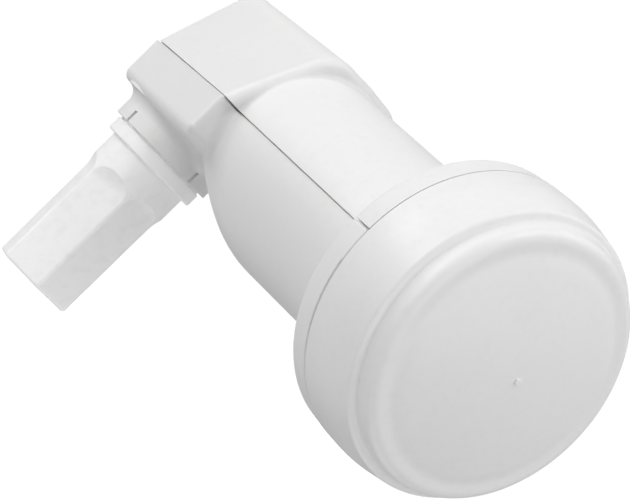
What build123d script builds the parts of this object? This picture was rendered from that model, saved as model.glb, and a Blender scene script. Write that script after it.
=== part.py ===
"""Universal single-output LNB: horn, waveguide, board and F socket in a two-part weather housing.

The origin is on the horn axis, halfway along the round neck that the dish arm's clamp holds.
-Y is the way the horn looks, +Z is up, and the F socket with its boot points down, along -Z.
"""

from build123d import *
import os
from math import sqrt

os.makedirs("parts", exist_ok=True)

# ---------------------------------------------------------------- driving dimensions, mm

# housing neck and collar, along the horn axis
neck_radius = 20.0
wall = 1.8
collar_back = -25.0
collar_front = -30.5
collar_radius_back = 29.8
collar_radius_front = 30.3
collar_wall = 2.2
collar_bore = 27.2
spigot_radius = 28.6
spigot_front = -33.8
seam_gap = 0.4
seam_depth = 0.7
seam_lip_top = 0.12

# housing box behind the neck
box_front = 30.0
box_rear = 72.8
front_half_width = 24.5
rear_half_width = 11.6
front_top_half_width = 12.2
rear_top_half_width = 3.6
front_crown = 21.6
rear_crown = 20.8
crown_rise = 0.4
cover_front = 28.8
cover_edge_radius = 2.0
front_shoulder_radius = 9.0
rear_shoulder_radius = 3.8
base_overhang = 0.4
base_depth = 10.0
base_edge_radius = 2.0
front_blend_radius = 2.0

# connector side, around a vertical axis under the rear of the box
socket_y = 60.3
shroud_radius = 12.15
shroud_wall = 1.1
shroud_bottom = -15.8
cove_radius = 2.5
slit_width = 0.8
slit_height = 2.6
floor_hole_radius = 6.6

# radome cap
cap_wall = 1.5
cap_back = collar_front - 0.25
cap_rim_front = -48.65
cap_face_front = -49.95
cap_centre = -53.0
cap_rim_radius = 27.25
cap_face_radius = 20.2
nub_radius = 0.75

# weather boot
boot_top = shroud_bottom - 0.4
boot_flange_radius = 11.05
boot_flange_height = 3.0
boot_radius = 9.45
boot_across_flats = 16.6
boot_corner_radius = 1.0
boot_flat_start = 5.3
boot_flat_run_out = 3.3
boot_bottom = -51.6
boot_bore = 7.0
boot_mouth = 5.6
plug_ring_radius = 10.6

# horn, waveguide and chassis casting
waveguide_radius = 8.75
tube_radius = 10.3
horn_floor = -27.5
horn_mouth = -40.0
backshort = 39.0
chassis_bottom = -6.0
board_floor = 10.5
chassis_top = 12.5
board_thickness = 0.8
gasket_thickness = 0.4
lid_plate = 1.5
lid_top = 16.2

# F socket, 3/8-32 thread
thread_radius = 4.76
thread_bottom = -24.5
hex_across_flats = 11.0
socket_bore = 3.2
contact_radius = 0.45


# ---------------------------------------------------------------- shared shapes

socket_plane = Plane.XZ.offset(-socket_y)
socket_axis = Axis((0, socket_y, 0), (0, 0, 1))


def share(y):
    """How far y lies from the box's front to its rear, as a share of its length."""
    return (y - box_front) / (box_rear - box_front)


def between(front_value, rear_value, y):
    return front_value + (rear_value - front_value) * share(y)


def revolve_about_horn(points):
    """A solid of revolution about the Y axis from (radius, y) corners."""
    with BuildPart() as turned:
        with BuildSketch(Plane.XY):
            with BuildLine():
                Polyline(*points, close=True)
            make_face()
        revolve(axis=Axis.Y)
    return turned.part


def revolve_about_socket(points):
    """A solid of revolution about the socket's vertical axis from (radius, z) corners."""
    with BuildPart() as turned:
        with BuildSketch(socket_plane):
            with BuildLine():
                Polyline(*points, close=True)
            make_face()
        revolve(axis=socket_axis)
    return turned.part


def mirrored_plan(half_outline):
    """A closed plan outline from its +X half, listed from front to rear."""
    other_half = [(-x, y) for x, y in reversed(half_outline)]
    return half_outline + other_half


def plan_block(half_outline, bottom, top):
    """A straight block with the given plan, from z = bottom to z = top."""
    with BuildPart() as block:
        with BuildSketch(Plane.XY.offset(bottom)):
            with BuildLine():
                Polyline(*mirrored_plan(half_outline), close=True)
            make_face()
        extrude(amount=top - bottom)
    return block.part


def cover_section(y, inset):
    """Corners and corner radii of the cover's cross-section at y, inset by a wall."""
    foot = between(front_half_width, rear_half_width, y) - inset * 1.15
    top = between(front_top_half_width, rear_top_half_width, y) - inset * 0.6
    crown = between(front_crown, rear_crown, y) - inset
    shoulder = between(front_shoulder_radius, rear_shoulder_radius, y) - inset * 0.5
    corners = [(0, 0), (foot, 0), (top, crown), (0, crown + crown_rise)]
    return corners, shoulder


def cover_block(inset):
    """The cover's box above the seam: leaning sides that taper to the rear, a rounded crown."""
    with BuildPart() as block:
        for y in (cover_front + inset, box_rear - inset):
            corners, shoulder = cover_section(y, inset)
            with BuildSketch(Plane.XZ.offset(-y)) as section:
                with BuildLine():
                    Polyline(*corners, close=True)
                make_face()
                fillet(section.vertices().sort_by(Axis.X)[-2:].sort_by(Axis.Y)[-1], shoulder)
                mirror(about=Plane.YZ)
        loft(ruled=True)
    return block.part


def base_block(inset):
    """The base's box below the seam: upright sides that taper to the rear, a flat bottom."""
    with BuildPart() as block:
        for y in (box_front + inset, box_rear - inset):
            half = between(front_half_width, rear_half_width, y) + base_overhang - inset
            with BuildSketch(Plane.XZ.offset(-y)):
                with Locations((0, -(base_depth - inset) / 2)):
                    Rectangle(2 * half, base_depth - inset)
        loft(ruled=True)
    return block.part


def seam_outline(inset):
    """The housing's outline at the seam, inset, as its +X half from front to rear."""
    return [
        (collar_radius_back - inset, collar_front + seam_gap),
        (collar_radius_back - inset, collar_back - inset),
        (neck_radius - inset, collar_back - inset),
        (neck_radius - inset, box_front + inset),
        (front_half_width - inset, box_front + inset),
        (rear_half_width - inset, box_rear - inset),
    ]


def fairing(inset):
    """The tail of the neck under the box: its depth falls away in a curve, then a straight ramp."""
    curve_start = 17.0
    ramp_start = 29.0
    ramp_slope = 0.425
    curve_rate = ramp_slope / (2 * (ramp_start - curve_start))
    with BuildPart() as tail:
        for y in (curve_start, 20.0, 23.0, 26.0, ramp_start, 39.0, 50.0):
            if y <= ramp_start:
                depth = neck_radius - curve_rate * (y - curve_start) ** 2
            else:
                depth = 17.45 - ramp_slope * (y - ramp_start)
            half = neck_radius - 0.4 * max(0.0, y - box_front)
            with BuildSketch(Plane.XZ.offset(-y)):
                Ellipse(half - inset, depth - inset)
        loft()
    return tail.part


def neck_and_collar(rear):
    """The neck, collar and cap spigot, solid, from y = rear to the spigot's mouth."""
    return revolve_about_horn(
        [
            (0, rear),
            (neck_radius, rear),
            (neck_radius, collar_back),
            (collar_radius_back, collar_back),
            (collar_radius_front, collar_front),
            (spigot_radius, collar_front),
            (spigot_radius, spigot_front),
            (0, spigot_front),
        ]
    )


def neck_bore(rear):
    """The hollow of the neck and collar, from the spigot's mouth to y = rear."""
    return revolve_about_horn(
        [
            (0, rear),
            (neck_radius - wall, rear),
            (neck_radius - wall, collar_back - collar_wall),
            (collar_bore, collar_back - collar_wall),
            (collar_bore, spigot_front - 1),
            (0, spigot_front - 1),
        ]
    )


# ---------------------------------------------------------------- radome cap

dome_rise = cap_face_front - cap_centre
dome_radius = (cap_face_radius**2 + dome_rise**2) / (2 * dome_rise)


def dome_y(radius):
    """y of the cap's domed face at a radius."""
    return cap_centre + dome_radius - sqrt(dome_radius**2 - radius**2)


half_face = cap_face_radius / 2
dome_edge_slope = cap_face_radius / sqrt(dome_radius**2 - cap_face_radius**2)

with BuildPart() as radome_cap:
    with BuildSketch(Plane.XY) as cap_profile:
        with BuildLine():
            FilletPolyline(
                (30.3, cap_back),
                (30.5, -37.0),
                (29.25, -44.3),
                (cap_rim_radius + 0.5, -44.6),
                (cap_rim_radius, cap_rim_front),
                (cap_face_radius + 3.2, cap_rim_front - 0.1),
                (cap_face_radius + 1.1, cap_face_front + 1.1 * dome_edge_slope),
                (cap_face_radius, cap_face_front),
                radius=(28, 0.9, 0.5, 2.3, 3.5, 7.0),
            )
            ThreePointArc(
                (cap_face_radius, cap_face_front), (half_face, dome_y(half_face)), (0, cap_centre)
            )
            Line((0, cap_centre), (0, cap_centre + cap_wall))
            ThreePointArc(
                (0, cap_centre + cap_wall),
                (half_face, dome_y(half_face) + cap_wall),
                (cap_face_radius, cap_face_front + cap_wall),
            )
            FilletPolyline(
                (cap_face_radius, cap_face_front + cap_wall),
                (cap_rim_radius - cap_wall, cap_rim_front + cap_wall + 0.2),
                (cap_rim_radius - cap_wall, -44.0),
                (spigot_radius + 0.1, -41.2),
                (spigot_radius + 0.1, cap_back),
                radius=(1.2, 0.8, 0.8),
            )
            Line((spigot_radius + 0.1, cap_back), (30.3, cap_back))
        make_face()
    revolve(axis=Axis.Y)
    with BuildSketch(Plane.XZ.offset(-cap_centre - 0.5)):
        Circle(nub_radius)
    extrude(amount=0.9)
    fillet(radome_cap.faces().sort_by(Axis.Y)[0].edges(), 0.3)
radome_cap.part.label = "radome_cap"
export_step(radome_cap.part, "parts/radome_cap.step")

# ---------------------------------------------------------------- housing shells


def at_radius(radius, y):
    """A test for round edges of a radius about the horn axis that lie at y."""
    return lambda e: abs(e.radius - radius) < 0.01 and abs(e.bounding_box().center().Y - y) < 0.01


def meets_front(edge):
    """Whether an edge is where the neck's tail runs into the base's front face."""
    box = edge.bounding_box()
    in_face = abs(box.min.Y - box_front) < 0.05 and abs(box.max.Y - box_front) < 0.05
    return in_face and 1 < box.size.X < 4 and box.size.Z > 1


collar_rim = at_radius(collar_radius_back, collar_back)
neck_root = at_radius(neck_radius, cover_front)
box_neck_rear = box_front + 3

with BuildPart() as upper_shell:
    add(cover_block(0))
    rear_face = upper_shell.faces().sort_by(Axis.Y)[-1]
    fillet(rear_face.edges().filter_by_position(Axis.Z, 0.1, front_crown), 2.8)
    front_face = upper_shell.faces().sort_by(Axis.Y)[0]
    fillet(front_face.edges().filter_by_position(Axis.Z, 0.1, front_crown + 1), cover_edge_radius)
    add(neck_and_collar(box_neck_rear))
    split(bisect_by=Plane.XY.offset(seam_gap / 2))
    fillet(upper_shell.edges().filter_by(GeomType.CIRCLE).filter_by(neck_root), 0.9)
    fillet(upper_shell.edges().filter_by(GeomType.CIRCLE).filter_by(collar_rim), 0.8)
    add(cover_block(wall), mode=Mode.SUBTRACT)
    add(neck_bore(box_neck_rear), mode=Mode.SUBTRACT)
upper_shell.part.label = "upper_shell"
export_step(upper_shell.part, "parts/upper_shell.step")


def shroud_cove():
    """A ring with a hollow curve outside, from the base's bottom into the shroud."""
    cove_outer = shroud_radius + cove_radius
    cove_bottom = -base_depth - cove_radius
    with BuildPart() as cove:
        with BuildSketch(socket_plane):
            with BuildLine():
                RadiusArc(
                    (shroud_radius, cove_bottom), (cove_outer, -base_depth), cove_radius
                )
                Polyline(
                    (cove_outer, -base_depth),
                    (cove_outer, cove_top),
                    (shroud_radius - 0.5, cove_top),
                    (shroud_radius - 0.5, cove_bottom),
                    (shroud_radius, cove_bottom),
                )
            make_face()
        revolve(axis=socket_axis)
    return cove.part


pad_spots = [(12, 37), (-12, 37), (9, 48), (-9, 48)]
cove_top = 0.6 - base_depth
cove_rear = box_rear - 0.3
cove_room = [(front_half_width, box_front), (rear_half_width, cove_rear)]
lip_bottom = -1.0
floor_inside = wall - base_depth

with BuildPart() as lower_shell:
    add(base_block(0))
    rear_corners = lower_shell.edges().filter_by(Axis.Z).group_by(Axis.Y)[-1]
    fillet(rear_corners, 2.5)
    front_corners = lower_shell.edges().filter_by(Axis.Z).group_by(Axis.Y)[0]
    fillet(front_corners, 0.9)
    fillet(lower_shell.faces().sort_by(Axis.Z)[0].edges(), base_edge_radius)
    add(neck_and_collar(17.0))
    add(fairing(0))
    with BuildSketch(Plane.XY.offset(floor_inside)):
        with Locations((0, socket_y)):
            Circle(shroud_radius)
    extrude(amount=shroud_bottom - floor_inside)
    add(shroud_cove() & plan_block(cove_room, -base_depth - cove_radius, cove_top))
    split(bisect_by=Plane.XY.offset(-seam_gap / 2), keep=Keep.BOTTOM)
    fillet(lower_shell.edges().filter_by(meets_front), front_blend_radius)
    fillet(lower_shell.edges().filter_by(GeomType.CIRCLE).filter_by(collar_rim), 0.8)
    fillet(lower_shell.faces().sort_by(Axis.Z)[0].edges(), 0.4)
    add(base_block(wall), mode=Mode.SUBTRACT)
    add(neck_bore(17.0), mode=Mode.SUBTRACT)
    add(fairing(wall), mode=Mode.SUBTRACT)
    with BuildSketch(Plane.XY.offset(shroud_bottom)):
        with Locations((0, socket_y)):
            Circle(shroud_radius - shroud_wall)
    extrude(amount=-shroud_bottom - base_depth, mode=Mode.SUBTRACT)
    with BuildSketch(Plane.XY.offset(-base_depth)):
        with Locations((0, socket_y)):
            Circle(floor_hole_radius)
    extrude(amount=wall, mode=Mode.SUBTRACT)
    with BuildSketch(Plane.XY.offset(shroud_bottom)):
        with Locations((0, socket_y)):
            Rectangle(slit_width, 2 * shroud_radius + 2)
            Rectangle(2 * shroud_radius + 2, slit_width)
    extrude(amount=slit_height, mode=Mode.SUBTRACT)
    with BuildSketch(Plane.XY.offset(floor_inside)):
        with Locations(*pad_spots):
            Circle(1.6)
    extrude(amount=chassis_bottom - floor_inside)
    # a lip behind the seam, which the upper shell rests on
    add(
        plan_block(seam_outline(seam_depth), lip_bottom, seam_lip_top)
        - plan_block(seam_outline(wall), lip_bottom, seam_lip_top)
    )
lower_shell.part.label = "lower_shell"
export_step(lower_shell.part, "parts/lower_shell.step")

# ---------------------------------------------------------------- weather boot

flange_bottom = boot_top - boot_flange_height
flat_start = flange_bottom - boot_flat_start
flat_full = flat_start - boot_flat_run_out
flat_depth = boot_radius - boot_across_flats / 2
run_out_radius = (boot_flat_run_out**2 + flat_depth**2) / (2 * flat_depth)
run_out_steps = 6
plug_ring_top = boot_top + 3.4
lip_height = 1.2

with BuildPart() as weather_boot:
    # six flats, which run out along a circle as arches on the round upper end
    for step in range(run_out_steps + 1):
        height = boot_flat_run_out * (run_out_steps - step) / run_out_steps
        apothem = boot_across_flats / 2 + run_out_radius - sqrt(run_out_radius**2 - height**2)
        with BuildSketch(Plane.XY.offset(flat_full + height)) as flats:
            with Locations((0, socket_y)):
                RegularPolygon(apothem, 6, major_radius=False)
            fillet(flats.vertices(), boot_corner_radius)
    loft(ruled=True)
    extrude(flats.sketch, amount=boot_bottom - flat_full)
    add(
        revolve_about_socket(
            [(0, flat_start), (boot_radius, flat_start), (boot_radius, boot_bottom), (0, boot_bottom)]
        ),
        mode=Mode.INTERSECT,
    )
    fillet(weather_boot.faces().sort_by(Axis.Z)[0].edges(), 0.8)
    add(
        revolve_about_socket(
            [
                (0, flat_start),
                (boot_radius, flat_start),
                (boot_radius, flange_bottom),
                (boot_flange_radius, flange_bottom),
                (boot_flange_radius, boot_top),
                (plug_ring_radius, boot_top),
                (plug_ring_radius, plug_ring_top),
                (0, plug_ring_top),
            ]
        )
    )
    flange_rim = weather_boot.edges().filter_by(GeomType.CIRCLE).filter_by(
        lambda e: abs(e.radius - boot_flange_radius) < 0.01
    )
    fillet(flange_rim, 0.4)
    add(
        revolve_about_socket(
            [
                (0, plug_ring_top),
                (plug_ring_radius - 1.3, plug_ring_top),
                (plug_ring_radius - 1.3, boot_top - 1.5),
                (boot_bore, flange_bottom - 1.0),
                (boot_bore, boot_bottom + lip_height),
                (boot_mouth, boot_bottom + lip_height),
                (boot_mouth, boot_bottom),
                (0, boot_bottom),
            ]
        ),
        mode=Mode.SUBTRACT,
    )
weather_boot.part.label = "weather_boot"
export_step(weather_boot.part, "parts/weather_boot.step")

# ---------------------------------------------------------------- horn, waveguide and chassis

seal_y = -37.3
seal_ring_radius = 27.45
seal_thickness = 2.4
post_y = 31.2
vertical_probe_y = 27.5
horizontal_probe_y = 35.0
horizontal_probe_x = 9.4
probe_radius = 0.4
bush_radius = 1.5
screw_spots = [(0, 22.7), (-7.6, 46.5), (7.6, 46.5), (0, 64.3)]
chassis_plan = [(10.4, 21), (10.4, 33), (12.4, 33), (4.0, 66)]
flange_plan = [(19.6, 33), (9.8, 67)]
pocket_plan = [(8.2, 24.4), (8.2, 33.6), (10.3, 33.6), (10.3, 37), (5.2, 46), (3.0, 62.5)]
board_plan = [(8.0, 24.6), (8.0, 33.8), (10.1, 33.8), (10.1, 36.8), (5.0, 45.9), (2.9, 62.3)]

with BuildPart() as feedhorn_casting:
    # outside: stepped horn mouth, tube with two support rings, round end behind the backshort
    add(
        revolve_about_horn(
            [
                (0, backshort + 1.5),
                (tube_radius, backshort + 1.5),
                (tube_radius, 14),
                (17.6, 14),
                (17.6, 12),
                (tube_radius, 12),
                (tube_radius, -10),
                (17.6, -10),
                (17.6, -12),
                (tube_radius, -12),
                (tube_radius, horn_floor),
                (26.1, horn_floor),
                (26.1, -34.4),
                (27.8, -34.4),
                (27.8, -35.9),
                (26.1, -35.9),
                (26.1, -38.7),
                (27.8, -38.7),
                (27.8, horn_mouth),
                (0, horn_mouth),
            ]
        )
    )
    add(plan_block(chassis_plan, 0, chassis_top))
    add(plan_block(flange_plan, chassis_bottom, 0))
    # choke rings: two ring-shaped pockets around the waveguide's mouth
    for inner, outer, floor in ((10.3, 16.8, horn_floor - 2), (18.2, 24.4, horn_floor - 2)):
        with BuildSketch(Plane.XZ.offset(-horn_mouth)):
            Circle(outer)
            Circle(inner, mode=Mode.SUBTRACT)
        extrude(amount=horn_mouth - floor, mode=Mode.SUBTRACT)
    # the two inner rings stand back from the mouth in steps
    for outer, mouth in ((17.0, -34.5), (24.4, -37.5)):
        with BuildSketch(Plane.XZ.offset(-horn_mouth)):
            Circle(outer)
        extrude(amount=horn_mouth - mouth, mode=Mode.SUBTRACT)
    with BuildSketch(Plane.XZ.offset(-horn_mouth)):
        Circle(waveguide_radius)
    extrude(amount=horn_mouth - backshort, mode=Mode.SUBTRACT)
    add(plan_block(pocket_plan, board_floor, chassis_top), mode=Mode.SUBTRACT)
    # holes: probes, socket, its insulator, lid screws and polarizer post
    with BuildSketch(Plane.XY.offset(board_floor)):
        with Locations((0, vertical_probe_y)):
            Circle(bush_radius)
    extrude(amount=-board_floor, mode=Mode.SUBTRACT)
    with BuildSketch(Plane.XY.offset(board_floor)):
        with Locations((horizontal_probe_x, horizontal_probe_y)):
            Circle(0.6)
    extrude(amount=-board_floor - 0.6, mode=Mode.SUBTRACT)
    with BuildSketch(Plane.YZ.offset(waveguide_radius - 1)):
        with Locations((horizontal_probe_y, 0)):
            Circle(0.6)
    extrude(amount=horizontal_probe_x - waveguide_radius + 1, mode=Mode.SUBTRACT)
    with BuildSketch(Plane.XY.offset(chassis_bottom)):
        with Locations((0, socket_y)):
            Circle(5.0)
    extrude(amount=-chassis_bottom, mode=Mode.SUBTRACT)
    with BuildSketch(Plane.XY):
        with Locations((0, socket_y)):
            Circle(bush_radius)
    extrude(amount=board_floor, mode=Mode.SUBTRACT)
    with BuildSketch(Plane.XY.offset(chassis_top)):
        with Locations(*screw_spots):
            Circle(0.85)
    extrude(amount=-5, mode=Mode.SUBTRACT)
feedhorn_casting.part.label = "feedhorn_casting"
export_step(feedhorn_casting.part, "parts/feedhorn_casting.step")

with BuildPart() as horn_seal_ring:
    with BuildSketch(Plane.XY):
        with Locations((seal_ring_radius, seal_y)):
            Circle(seal_thickness / 2)
    revolve(axis=Axis.Y)
horn_seal_ring.part.label = "horn_seal_ring"
export_step(horn_seal_ring.part, "parts/horn_seal_ring.step")

# ---------------------------------------------------------------- waveguide probes

board_top = board_floor + board_thickness

with BuildPart() as polarizer_post:
    with BuildSketch(Plane.YZ.offset(-waveguide_radius + 0.05)):
        with Locations((post_y, 0)):
            Circle(0.6)
    extrude(amount=2 * waveguide_radius - 0.1)
polarizer_post.part.label = "polarizer_post"
export_step(polarizer_post.part, "parts/polarizer_post.step")

with BuildPart() as vertical_probe:
    with BuildSketch(Plane.XY.offset(board_top + 0.3)):
        with Locations((0, vertical_probe_y)):
            Circle(probe_radius)
    extrude(amount=-9.0)
vertical_probe.part.label = "vertical_probe"
export_step(vertical_probe.part, "parts/vertical_probe.step")

with BuildPart() as horizontal_probe:
    with BuildLine(Plane.XZ.offset(-horizontal_probe_y)) as probe_route:
        FilletPolyline(
            (horizontal_probe_x, board_top + 0.3),
            (horizontal_probe_x, 0),
            (3.4, 0),
            radius=0.9,
        )
    with BuildSketch(Plane.XY.offset(board_top + 0.3)):
        with Locations((horizontal_probe_x, horizontal_probe_y)):
            Circle(probe_radius)
    sweep(path=probe_route.wires()[0])
horizontal_probe.part.label = "horizontal_probe"
export_step(horizontal_probe.part, "parts/horizontal_probe.step")

with BuildPart() as probe_bush:
    with BuildSketch(Plane.XY.offset(board_floor - 2.2)):
        with Locations((0, vertical_probe_y)):
            Circle(bush_radius - 0.02)
            Circle(probe_radius + 0.02, mode=Mode.SUBTRACT)
    extrude(amount=2.15)
probe_bush.part.label = "probe_bush"
export_step(probe_bush.part, "parts/probe_bush.step")

# ---------------------------------------------------------------- circuit board and its parts

resonator_spots = [(2.8, 41.0), (0, 54.5)]

with BuildPart() as circuit_board:
    with BuildSketch(Plane.XY.offset(board_floor)):
        with BuildLine():
            Polyline(*mirrored_plan(board_plan), close=True)
        make_face()
        with Locations(
            (0, vertical_probe_y), (horizontal_probe_x, horizontal_probe_y), (0, socket_y)
        ):
            Circle(contact_radius + 0.05, mode=Mode.SUBTRACT)
    extrude(amount=board_thickness)
circuit_board.part.label = "circuit_board"
export_step(circuit_board.part, "parts/circuit_board.step")

with BuildPart() as hemt_amplifiers:
    with BuildSketch(Plane.XY.offset(board_top)):
        with Locations((3.0, 29.2), (5.4, 34.2), (-2.6, 32.0)):
            Rectangle(1.8, 1.2)
            Rectangle(0.5, 2.8)
            Rectangle(2.8, 0.5)
    extrude(amount=0.15)
    with BuildSketch(Plane.XY.offset(board_top + 0.15)):
        with Locations((3.0, 29.2), (5.4, 34.2), (-2.6, 32.0)):
            Circle(0.9)
    extrude(amount=0.7, taper=8)
hemt_amplifiers.part.label = "hemt_amplifiers"
export_step(hemt_amplifiers.part, "parts/hemt_amplifiers.step")

with BuildPart() as dielectric_resonators:
    with BuildSketch(Plane.XY.offset(board_top)):
        with Locations(*resonator_spots):
            Circle(2.3)
    extrude(amount=2.0)
    chamfer(dielectric_resonators.faces().group_by(Axis.Z)[-1].edges(), 0.15)
dielectric_resonators.part.label = "dielectric_resonators"
export_step(dielectric_resonators.part, "parts/dielectric_resonators.step")

with BuildPart() as downconverter_chip:
    with BuildSketch(Plane.XY.offset(board_top)):
        with Locations((-3.0, 40.6)):
            Rectangle(4.0, 4.0)
    extrude(amount=0.9)
    chamfer(downconverter_chip.faces().sort_by(Axis.Z)[-1].edges(), 0.12)
downconverter_chip.part.label = "downconverter_chip"
export_step(downconverter_chip.part, "parts/downconverter_chip.step")

with BuildPart() as voltage_regulator:
    with BuildSketch(Plane.XY.offset(board_top)):
        with Locations((0, 48.6)):
            Rectangle(4.4, 2.4)
    extrude(amount=1.4)
    chamfer(voltage_regulator.faces().sort_by(Axis.Z)[-1].edges(), 0.15)
voltage_regulator.part.label = "voltage_regulator"
export_step(voltage_regulator.part, "parts/voltage_regulator.step")

with BuildPart() as chip_capacitors:
    with BuildSketch(Plane.XY.offset(board_top)):
        with Locations((-5.6, 27), (-5.6, 30), (6.4, 37.6), (-6.4, 37.0), (0, 45), (2.4, 45.4)):
            Rectangle(0.6, 1.2)
    extrude(amount=0.6)
chip_capacitors.part.label = "chip_capacitors"
export_step(chip_capacitors.part, "parts/chip_capacitors.step")

# ---------------------------------------------------------------- shield over the board

gasket_outer = [(10.2, 21.2), (10.2, 33.2), (12.2, 33.2), (3.9, 65.8)]
shield_dome = [(7.2, 25), (7.2, 40), (5.2, 44), (3.8, 61.5)]
shield_room = [(6.2, 26), (6.2, 39.4), (4.2, 44.4), (2.8, 60.5)]
gasket_top = chassis_top + gasket_thickness
plate_top = gasket_top + lid_plate

with BuildPart() as shield_gasket:
    add(plan_block(gasket_outer, chassis_top, gasket_top))
    add(plan_block(pocket_plan, chassis_top, gasket_top), mode=Mode.SUBTRACT)
    with BuildSketch(Plane.XY.offset(chassis_top)):
        with Locations(*screw_spots):
            Circle(0.85)
    extrude(amount=gasket_thickness, mode=Mode.SUBTRACT)
shield_gasket.part.label = "shield_gasket"
export_step(shield_gasket.part, "parts/shield_gasket.step")

with BuildPart() as shield_lid:
    add(plan_block(gasket_outer, gasket_top, plate_top))
    add(plan_block(shield_dome, plate_top, lid_top))
    fillet(shield_lid.faces().sort_by(Axis.Z)[-1].edges(), 0.5)
    add(plan_block(shield_room, gasket_top, lid_top - 1.0), mode=Mode.SUBTRACT)
    with BuildSketch(Plane.XY.offset(gasket_top)):
        with Locations(*screw_spots):
            Circle(0.85)
    extrude(amount=lid_plate, mode=Mode.SUBTRACT)
    with BuildSketch(Plane.XY.offset(lid_top)):
        with Locations(*resonator_spots):
            Circle(1.4)
    extrude(amount=-1.0, mode=Mode.SUBTRACT)
shield_lid.part.label = "shield_lid"
export_step(shield_lid.part, "parts/shield_lid.step")

with BuildPart() as shield_screws:
    with BuildSketch(Plane.XY.offset(chassis_top - 4)):
        with Locations(*screw_spots):
            Circle(0.84)
    extrude(amount=4 + gasket_thickness + lid_plate)
    with BuildSketch(Plane.XY.offset(plate_top)):
        with Locations(*screw_spots):
            Circle(1.5)
    extrude(amount=1.1)
    fillet(shield_screws.faces().group_by(Axis.Z)[-1].edges(), 0.4)
    with BuildSketch(Plane.XY.offset(plate_top + 1.1)):
        with Locations(*screw_spots):
            Rectangle(1.6, 0.4)
            Rectangle(0.4, 1.6)
    extrude(amount=-0.6, mode=Mode.SUBTRACT)
shield_screws.part.label = "shield_screws"
export_step(shield_screws.part, "parts/shield_screws.step")

with BuildPart() as tuning_screws:
    with BuildSketch(Plane.XY.offset(board_top + 2.3)):
        with Locations(*resonator_spots):
            Circle(1.38)
    extrude(amount=4.0)
    with BuildSketch(Plane.XY.offset(board_top + 6.3)):
        with Locations(*resonator_spots):
            Rectangle(3.0, 0.5)
    extrude(amount=-0.8, mode=Mode.SUBTRACT)
tuning_screws.part.label = "tuning_screws"
export_step(tuning_screws.part, "parts/tuning_screws.step")

# ---------------------------------------------------------------- F socket

hex_top = -8.6
hex_bottom = -12.0
shoulder_radius = 5.9
stub_radius = 4.98
seal_radius = 7.05
seal_section = 2.05

with BuildPart() as f_connector_body:
    add(
        revolve_about_socket(
            [
                (socket_bore, 0),
                (stub_radius, 0),
                (stub_radius, chassis_bottom),
                (shoulder_radius, chassis_bottom),
                (shoulder_radius, hex_top),
                (thread_radius, hex_top),
                (thread_radius, thread_bottom + 0.5),
                (thread_radius - 0.5, thread_bottom),
                (socket_bore, thread_bottom),
            ]
        )
    )
    with BuildSketch(Plane.XY.offset(hex_bottom)):
        with Locations((0, socket_y)):
            RegularPolygon(hex_across_flats / 2, 6, major_radius=False)
            Circle(thread_radius - 0.5, mode=Mode.SUBTRACT)
    extrude(amount=hex_top - hex_bottom)
f_connector_body.part.label = "f_connector_body"
export_step(f_connector_body.part, "parts/f_connector_body.step")

with BuildPart() as f_connector_insulator:
    add(
        revolve_about_socket(
            [
                (contact_radius + 0.02, board_floor - 0.1),
                (bush_radius - 0.02, board_floor - 0.1),
                (bush_radius - 0.02, -1.0),
                (socket_bore - 0.02, -1.0),
                (socket_bore - 0.02, thread_bottom + 0.6),
                (1.2, thread_bottom + 0.6),
                (1.2, thread_bottom + 3.0),
                (contact_radius + 0.42, thread_bottom + 3.0),
                (contact_radius + 0.42, -10.0),
                (contact_radius + 0.02, -10.0),
            ]
        )
    )
f_connector_insulator.part.label = "f_connector_insulator"
export_step(f_connector_insulator.part, "parts/f_connector_insulator.step")

with BuildPart() as f_connector_contact:
    add(
        revolve_about_socket(
            [
                (0, board_top + 0.4),
                (contact_radius, board_top + 0.4),
                (contact_radius, -10.1),
                (contact_radius + 0.4, -10.1),
                (contact_radius + 0.4, thread_bottom + 3.1),
                (0.5, thread_bottom + 3.1),
                (0.5, thread_bottom + 11.0),
                (0, thread_bottom + 11.0),
            ]
        )
    )
f_connector_contact.part.label = "f_connector_contact"
export_step(f_connector_contact.part, "parts/f_connector_contact.step")

with BuildPart() as f_connector_seal:
    with BuildSketch(socket_plane):
        with Locations((seal_radius, (chassis_bottom + floor_inside) / 2)):
            Circle(seal_section / 2)
    revolve(axis=socket_axis)
f_connector_seal.part.label = "f_connector_seal"
export_step(f_connector_seal.part, "parts/f_connector_seal.step")
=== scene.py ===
"""A satellite dish's receiving head above a white floor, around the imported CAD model."""

from math import cos, pi, radians, sin

import bmesh
import bpy
from mathutils import Matrix, Vector


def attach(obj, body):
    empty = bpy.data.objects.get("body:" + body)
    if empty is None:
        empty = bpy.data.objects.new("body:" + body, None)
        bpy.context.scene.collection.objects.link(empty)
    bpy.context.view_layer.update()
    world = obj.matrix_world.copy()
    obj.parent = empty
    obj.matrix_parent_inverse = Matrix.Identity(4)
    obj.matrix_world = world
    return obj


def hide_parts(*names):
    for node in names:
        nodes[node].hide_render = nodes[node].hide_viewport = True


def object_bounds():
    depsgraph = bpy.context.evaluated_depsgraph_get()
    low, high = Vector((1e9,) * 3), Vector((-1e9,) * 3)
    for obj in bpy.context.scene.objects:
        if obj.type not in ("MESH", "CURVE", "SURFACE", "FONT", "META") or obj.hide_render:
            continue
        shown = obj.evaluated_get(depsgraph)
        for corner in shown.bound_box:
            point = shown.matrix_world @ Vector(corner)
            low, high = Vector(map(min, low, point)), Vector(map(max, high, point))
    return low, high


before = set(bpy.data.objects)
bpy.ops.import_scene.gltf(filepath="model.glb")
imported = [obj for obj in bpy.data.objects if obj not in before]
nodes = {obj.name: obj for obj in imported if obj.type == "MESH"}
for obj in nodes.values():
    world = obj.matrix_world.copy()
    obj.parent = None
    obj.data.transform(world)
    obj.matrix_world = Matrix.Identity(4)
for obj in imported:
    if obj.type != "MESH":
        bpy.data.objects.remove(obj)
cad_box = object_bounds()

scene = bpy.context.scene


# ---------------------------------------------------------------- materials

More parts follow.
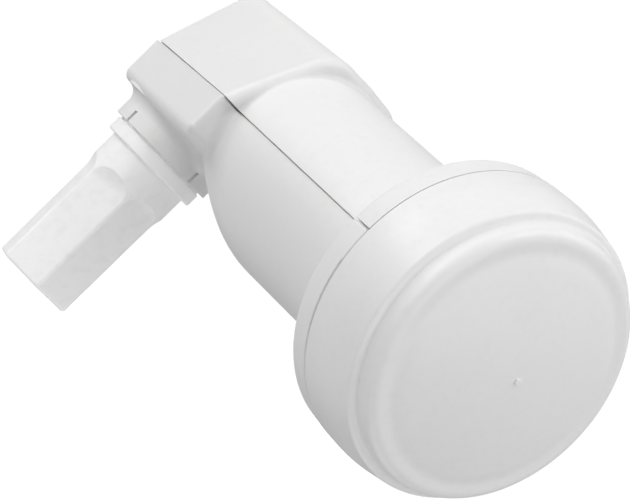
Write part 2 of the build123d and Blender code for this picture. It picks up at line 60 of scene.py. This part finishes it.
# where a Mix node keeps its two colours and their mixture
first_colour, second_colour, mixed_colour = 6, 7, 2


class Finish:
    """A procedural material in the making: one Principled shader and the nodes that feed it."""

    def __init__(self, name, color, roughness, metallic=0.0):
        self.material = bpy.data.materials.new(name)
        self.material.use_nodes = True
        self.tree = self.material.node_tree
        self.shader = self.tree.nodes["Principled BSDF"]
        self.set("Base Color", (*color, 1.0))
        self.set("Roughness", roughness)
        self.set("Metallic", metallic)
        self.place = self.tree.nodes.new("ShaderNodeTexCoord").outputs["Object"]
        self.height = None

    def set(self, socket, value):
        self.shader.inputs[socket].default_value = value

    def link(self, output, target):
        self.tree.links.new(output, target)

    def noise(self, size, detail, stretch=(1, 1, 1)):
        """Noise whose features are about size metres across, from 0 to 1."""
        mapping = self.tree.nodes.new("ShaderNodeMapping")
        mapping.inputs["Scale"].default_value = stretch
        self.link(self.place, mapping.inputs["Vector"])
        noise = self.tree.nodes.new("ShaderNodeTexNoise")
        noise.inputs["Scale"].default_value = 1 / size
        noise.inputs["Detail"].default_value = detail
        self.link(mapping.outputs["Vector"], noise.inputs["Vector"])
        return noise.outputs["Fac"]

    def cells(self, size):
        """Cells about size metres across: the distance from each one's middle."""
        cells = self.tree.nodes.new("ShaderNodeTexVoronoi")
        cells.inputs["Scale"].default_value = 1 / size
        self.link(self.place, cells.inputs["Vector"])
        return cells.outputs["Distance"]

    def spread(self, value, low, high, start=0.3, end=0.7):
        """Turns the stretch of value from start to end into low to high."""
        remap = self.tree.nodes.new("ShaderNodeMapRange")
        remap.inputs["From Min"].default_value = start
        remap.inputs["From Max"].default_value = end
        remap.inputs["To Min"].default_value = low
        remap.inputs["To Max"].default_value = high
        self.link(value, remap.inputs["Value"])
        return remap.outputs["Result"]

    def tint(self, value, other, start=0.35, end=0.65):
        """The colour goes from the current one to other as value goes from start to end."""
        mix = self.tree.nodes.new("ShaderNodeMix")
        mix.data_type = "RGBA"
        source = self.shader.inputs["Base Color"]
        if source.is_linked:
            self.link(source.links[0].from_socket, mix.inputs[first_colour])
        else:
            mix.inputs[first_colour].default_value = source.default_value
        mix.inputs[second_colour].default_value = (*other, 1.0)
        self.link(self.spread(value, 0.0, 1.0, start, end), mix.inputs["Factor"])
        self.link(mix.outputs[mixed_colour], source)

    def gloss(self, value, low, high):
        """Roughness goes from low to high with value."""
        self.link(self.spread(value, low, high), self.shader.inputs["Roughness"])

    def relief(self, value, depth, strength):
        """Bumps of the given depth in metres, on top of any before them."""
        bump = self.tree.nodes.new("ShaderNodeBump")
        bump.inputs["Strength"].default_value = strength
        bump.inputs["Distance"].default_value = depth
        self.link(value, bump.inputs["Height"])
        if self.height is not None:
            self.link(self.height, bump.inputs["Normal"])
        self.height = bump.outputs["Normal"]
        self.link(self.height, self.shader.inputs["Normal"])


def shade(color, factor):
    """The colour, times a factor."""
    return tuple(channel * factor for channel in color)


def moulded(name, color, roughness, grain, grain_depth):
    """A moulded plastic: fine mould grain, slow flow marks and a slightly uneven gloss."""
    finish = Finish(name, color, roughness)
    finish.tint(finish.noise(0.03, 2.0, (1, 0.45, 1)), shade(color, 0.98))
    finish.tint(finish.noise(0.0016, 3.0), shade(color, 0.965), 0.5, 0.8)
    finish.gloss(finish.noise(0.004, 4.0), roughness - 0.05, roughness + 0.07)
    finish.relief(finish.noise(0.009, 1.0), 0.00004, 0.3)
    finish.relief(finish.noise(grain, 2.0), grain_depth, 0.6)
    return finish


def translucent(name, color, roughness):
    """A milky plastic that lets some light through, with cloudy lighter and darker places and a
    painted white glow.
    """
    finish = moulded(name, color, roughness, 0.0006, 0.00004)
    finish.tint(finish.noise(0.0022, 5.0), shade(color, 0.91), 0.4, 0.7)
    finish.set("IOR", 1.46)
    finish.set("Transmission Weight", 0.12)
    finish.set("Subsurface Weight", 0.7)
    finish.set("Subsurface Radius", (1.0, 0.98, 0.96))
    finish.set("Subsurface Scale", 0.0012)
    # painted glow: a faint white emission that stands in for the daylight that comes through its
    # wall from the pale ground around it
    finish.set("Emission Color", (1.0, 1.0, 1.0, 1.0))
    finish.set("Emission Strength", 0.08)
    return finish


def cast(name, color):
    """As-cast aluminium: a dull, patchy skin with a fine pitted relief, and brighter spots."""
    finish = Finish(name, color, 0.45, 1.0)
    finish.tint(finish.noise(0.003, 4.0), shade(color, 0.72))
    finish.tint(finish.cells(0.0011), shade(color, 1.2), 0.5, 0.9)
    finish.gloss(finish.noise(0.0015, 5.0), 0.34, 0.6)
    finish.relief(finish.noise(0.0005, 4.0), 0.00006, 0.7)
    return finish


def elastic(name, color, dust):
    """Rubber with patches of dust."""
    finish = Finish(name, color, 0.62)
    finish.tint(finish.noise(0.0012, 5.0), dust, 0.5, 0.8)
    finish.gloss(finish.noise(0.0008, 3.0), 0.5, 0.75)
    finish.relief(finish.noise(0.0003, 3.0), 0.00003, 0.6)
    return finish


def plated(name, color, roughness, worn):
    """A plated or turned metal: fine lines across Z, and worn or dull patches."""
    finish = Finish(name, color, roughness, 1.0)
    finish.tint(finish.noise(0.0009, 4.0), worn, 0.5, 0.78)
    finish.gloss(finish.noise(0.0012, 3.0), roughness * 0.85, roughness * 1.3)
    finish.relief(finish.noise(0.0004, 2.0, (0.2, 0.2, 3.0)), 0.000003, 0.3)
    return finish


def laminate(name, color, weave):
    """Board material: glass weave under a thin mask."""
    finish = Finish(name, color, 0.4)
    finish.tint(finish.noise(0.0006, 2.0, (3.0, 0.4, 1.0)), weave, 0.4, 0.62)
    finish.tint(finish.noise(0.0006, 2.0, (0.4, 3.0, 1.0)), weave, 0.4, 0.62)
    finish.gloss(finish.noise(0.001, 3.0), 0.3, 0.5)
    finish.relief(finish.noise(0.0005, 2.0, (3.0, 0.4, 1.0)), 0.00002, 0.5)
    return finish


def fired(name, color, speck):
    """Ceramic or moulded epoxy: dense, with fine specks."""
    finish = Finish(name, color, 0.5)
    finish.tint(finish.cells(0.0003), speck, 0.42, 0.7)
    finish.tint(finish.noise(0.001, 4.0), shade(color, 0.85))
    finish.gloss(finish.noise(0.0006, 3.0), 0.4, 0.62)
    finish.relief(finish.noise(0.00015, 2.0), 0.00001, 0.6)
    return finish


recipes = {
    "housing_plastic": (moulded, (0.83, 0.83, 0.828), 0.42, 0.00028, 0.000018),
    "radome_plastic": (moulded, (0.83, 0.83, 0.83), 0.38, 0.0003, 0.000014),
    "boot_plastic": (translucent, (0.95, 0.95, 0.95), 0.34),
    "cast_metal": (cast, (0.62, 0.63, 0.65)),
    "seal_rubber": (elastic, (0.035, 0.035, 0.038), (0.11, 0.11, 0.105)),
    "gasket_rubber": (elastic, (0.2, 0.21, 0.22), (0.36, 0.37, 0.38)),
    "tinned_metal": (plated, (0.72, 0.72, 0.72), 0.26, (0.5, 0.5, 0.49)),
    "probe_metal": (plated, (0.83, 0.67, 0.32), 0.24, (0.66, 0.5, 0.28)),
    "contact_metal": (plated, (0.83, 0.68, 0.34), 0.2, (0.7, 0.6, 0.42)),
    "ptfe": (moulded, (0.85, 0.85, 0.83), 0.36, 0.0004, 0.00001),
    "board_laminate": (laminate, (0.62, 0.66, 0.55), (0.5, 0.55, 0.42)),
    "chip_package": (fired, (0.03, 0.03, 0.033), (0.07, 0.07, 0.07)),
    "capacitor_ceramic": (fired, (0.42, 0.31, 0.2), (0.56, 0.45, 0.32)),
    "resonator_ceramic": (fired, (0.66, 0.58, 0.45), (0.5, 0.42, 0.31)),
    "screw_steel": (plated, (0.64, 0.65, 0.66), 0.3, (0.45, 0.44, 0.42)),
    "screw_brass": (plated, (0.76, 0.58, 0.28), 0.28, (0.52, 0.38, 0.2)),
    "nickel_plate": (plated, (0.7, 0.69, 0.66), 0.22, (0.55, 0.53, 0.5)),
}
finishes = {slot: make(slot, *values) for slot, (make, *values) in recipes.items()}

for node in nodes.values():
    for place in node.material_slots:
        place.material = finishes[place.material.name.split(".")[0]].material


# ---------------------------------------------------------------- meshes and objects


def finished_mesh(name, build):
    """The mesh of a bmesh, which is freed."""
    mesh = bpy.data.meshes.new(name)
    build.to_mesh(mesh)
    build.free()
    return mesh


def placed(name, data):
    """A new object in the scene."""
    made = bpy.data.objects.new(name, data)
    scene.collection.objects.link(made)
    return made


# ---------------------------------------------------------------- threaded socket

# the CAD model's socket: places along Z, radii about its axis, and its hexagon's half width
socket_y = 0.0603
shoulder_top, hex_top, hex_bottom, socket_end = -0.006, -0.0086, -0.012, -0.0245
bore, stub_radius, shoulder_radius = 0.0032, 0.00498, 0.0059
hex_half, hex_chamfer = 0.0055, 0.00025

# a 3/8-32 thread, from below the hexagon to the socket's end
inch, threads_per_inch = 0.0254, 32
pitch = inch / threads_per_inch
crest, thread_depth = 0.00476, 0.00042
relief_length, end_taper = 0.0005, 0.0005
thread_top = hex_bottom - relief_length
# a groove has its full depth where groove_peak, less groove_slope for each pitch from its middle,
# is over 1, and none where that is under 0
groove_peak, groove_slope, groove_middle = 1.3, 3.2, 0.5

around = 72
rings_per_pitch = 8
weld_distance = 1e-7
sharp_angle = radians(24)


def on_hex(angle):
    """Radius of the hexagon at an angle; its corners lie on the X axis."""
    return hex_half / cos((angle % (pi / 3)) - pi / 6)


def on_rounded_hex(angle):
    """Radius of the hexagon's ends, whose corners are turned off."""
    return min(on_hex(angle), shoulder_radius)


def on_circle(radius):
    """The same radius at each angle."""
    return lambda angle: radius


def on_thread(angle, z):
    """Radius of the thread: a helix of V grooves with flats, which runs out at both ends."""
    turn = (z / pitch - angle / (2 * pi)) % 1.0
    groove = min(1.0, max(0.0, groove_peak - abs(turn - groove_middle) * groove_slope))
    start = min(1.0, (thread_top - z) / pitch)
    end = min(0.0, (z - socket_end) / end_taper - 1.0)
    full = crest - thread_depth * (groove * start + 1.0 - start)
    return min(full, crest + end_taper * end)


def socket_rings():
    """Rings of the socket from its top down the outside and back up the bore."""
    rings = []

    def ring(z, radius):
        angles = [k * 2 * pi / around for k in range(around)]
        rings.append([(radius(angle), angle, z) for angle in angles])

    ring(0.0, on_circle(stub_radius))
    ring(shoulder_top, on_circle(stub_radius))
    ring(shoulder_top, on_circle(shoulder_radius))
    ring(hex_top, on_circle(shoulder_radius))
    ring(hex_top, on_rounded_hex)
    ring(hex_top - hex_chamfer, on_hex)
    ring(hex_bottom + hex_chamfer, on_hex)
    ring(hex_bottom, on_rounded_hex)
    ring(hex_bottom, on_circle(crest - thread_depth))
    rows = round((thread_top - socket_end) / pitch * rings_per_pitch)
    for row in range(rows + 1):
        z = thread_top + (socket_end - thread_top) * row / rows
        ring(z, lambda angle, z=z: on_thread(angle, z))
    ring(socket_end, on_circle(bore))
    ring(0.0, on_circle(bore))
    return rings


def ring_mesh(name, rings):
    """A closed mesh through rings of (radius, angle, z) about the socket's axis."""
    build = bmesh.new()
    loops = [
        [build.verts.new((r * cos(a), socket_y + r * sin(a), z)) for r, a, z in ring]
        for ring in rings
    ]
    for upper, lower in zip(loops, loops[1:] + loops[:1]):
        for k in range(around):
            after = (k + 1) % around
            build.faces.new((upper[k], lower[k], lower[after], upper[after]))
    bmesh.ops.remove_doubles(build, verts=build.verts, dist=weld_distance)
    bmesh.ops.recalc_face_normals(build, faces=build.faces)
    mesh = finished_mesh(name, build)
    mesh.shade_smooth()
    mesh.set_sharp_from_angle(angle=sharp_angle)
    return mesh


socket = placed("f_socket_threaded", ring_mesh("f_socket_threaded", socket_rings()))
socket.data.materials.append(finishes["nickel_plate"].material)
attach(socket, "housing")
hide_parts("f_connector_body")


# ---------------------------------------------------------------- floor and backdrop

low, high = cad_box
middle = (low + high) / 2

# the floor lies just under the boot where it has slid down by its whole travel
boot_travel, floor_gap = 0.04, 0.0002
floor_radius, floor_segments = 8.0, 96
dome_radius, dome_segments, dome_rings = 7.9, 48, 24


def plain(name, color, glow):
    """A dull surface that glows white, for the floor or the backdrop."""
    material = bpy.data.materials.new(name)
    material.use_nodes = True
    shader = material.node_tree.nodes["Principled BSDF"]
    shader.inputs["Base Color"].default_value = (*color, 1.0)
    shader.inputs["Roughness"].default_value = 0.9
    shader.inputs["Specular IOR Level"].default_value = 0.0
    shader.inputs["Emission Color"].default_value = (1.0, 1.0, 1.0, 1.0)
    shader.inputs["Emission Strength"].default_value = glow
    return material


def stage_piece(name, build, material, passes):
    """A piece of the studio, which the kinds of ray in passes go through."""
    made = placed(name, finished_mesh(name, build))
    made.data.materials.append(material)
    for ray in passes:
        setattr(made, "visible_" + ray, False)
    return made


def white_floor():
    """A disc under the object, seen directly and through clear things. Light comes up past it."""
    build = bmesh.new()
    bmesh.ops.create_circle(build, cap_ends=True, segments=floor_segments, radius=floor_radius)
    white = plain("floor_white", (0.9, 0.9, 0.9), 0.8)
    made = stage_piece("floor", build, white, ("diffuse", "glossy", "shadow"))
    made.location.z = low.z - boot_travel - floor_gap
    return made


def white_backdrop():
    """A dome round everything, seen directly and through clear things."""
    build = bmesh.new()
    bmesh.ops.create_uvsphere(
        build, u_segments=dome_segments, v_segments=dome_rings, radius=dome_radius
    )
    white = plain("backdrop_white", (0.0, 0.0, 0.0), 1.02)
    return stage_piece("backdrop", build, white, ("diffuse", "glossy", "volume_scatter", "shadow"))


floor = white_floor()
backdrop = white_backdrop()


# ---------------------------------------------------------------- light

world = bpy.data.worlds.new("studio")
world.use_nodes = True
world.node_tree.nodes["Background"].inputs["Color"].default_value = (1.0, 1.0, 1.0, 1.0)
world.node_tree.nodes["Background"].inputs["Strength"].default_value = 0.38
scene.world = world

light_distance = 1.2
broad, small = 0.8, 0.35

# name, bearing in degrees clockwise from +Y, height in degrees, power and size
softboxes = (
    ("overhead_front", 210, 60, 2.9, small),
    ("overhead_far", 120, 65, 3.5, broad),
    ("left", 270, 5, 2.7, broad),
    ("left_key", 285, 15, 2.2, small),
    ("left_rear_key", 310, 15, 2.0, small),
    ("left_rear", 315, 35, 2.3, broad),
    ("front", 180, 5, 4.0, broad),
    ("underneath_far", 120, -60, 2.3, broad),
    ("underneath_rear", 0, -60, 1.0, broad),
)


def softbox(name, bearing, height, power, size):
    """A square area light that looks at the middle of the object."""
    light = bpy.data.lights.new(name, "AREA")
    light.shape = "SQUARE"
    light.size = size
    light.energy = power
    made = placed(name, light)
    from_middle = Vector((cos(height) * sin(bearing), cos(height) * cos(bearing), sin(height)))
    turn = (-from_middle).to_track_quat("-Z", "Y").to_matrix().to_4x4()
    made.matrix_world = Matrix.Translation(middle + from_middle * light_distance) @ turn


for name, bearing, height, power, size in softboxes:
    softbox(name, radians(bearing), radians(height), power, size)


# ---------------------------------------------------------------- camera

azimuth, elevation, roll = radians(42.5), radians(-1.4), radians(45.56)
camera_distance = 0.65
focal_length, sensor_width = 204.74, 36.0
aim = Vector((-0.01647, -0.00962, -0.00864))
toward = Vector((-cos(elevation) * sin(azimuth), -cos(elevation) * cos(azimuth), sin(elevation)))

lens = bpy.data.cameras.new("camera")
lens.lens = focal_length
lens.sensor_width = sensor_width
lens.clip_start = 0.05
lens.clip_end = 50.0
camera = placed("camera", lens)
facing = (-toward).to_track_quat("-Z", "Y").to_matrix().to_4x4() @ Matrix.Rotation(roll, 4, "Z")
camera.matrix_world = Matrix.Translation(aim + toward * camera_distance) @ facing
scene.camera = camera
scene.view_settings.view_transform = "Standard"
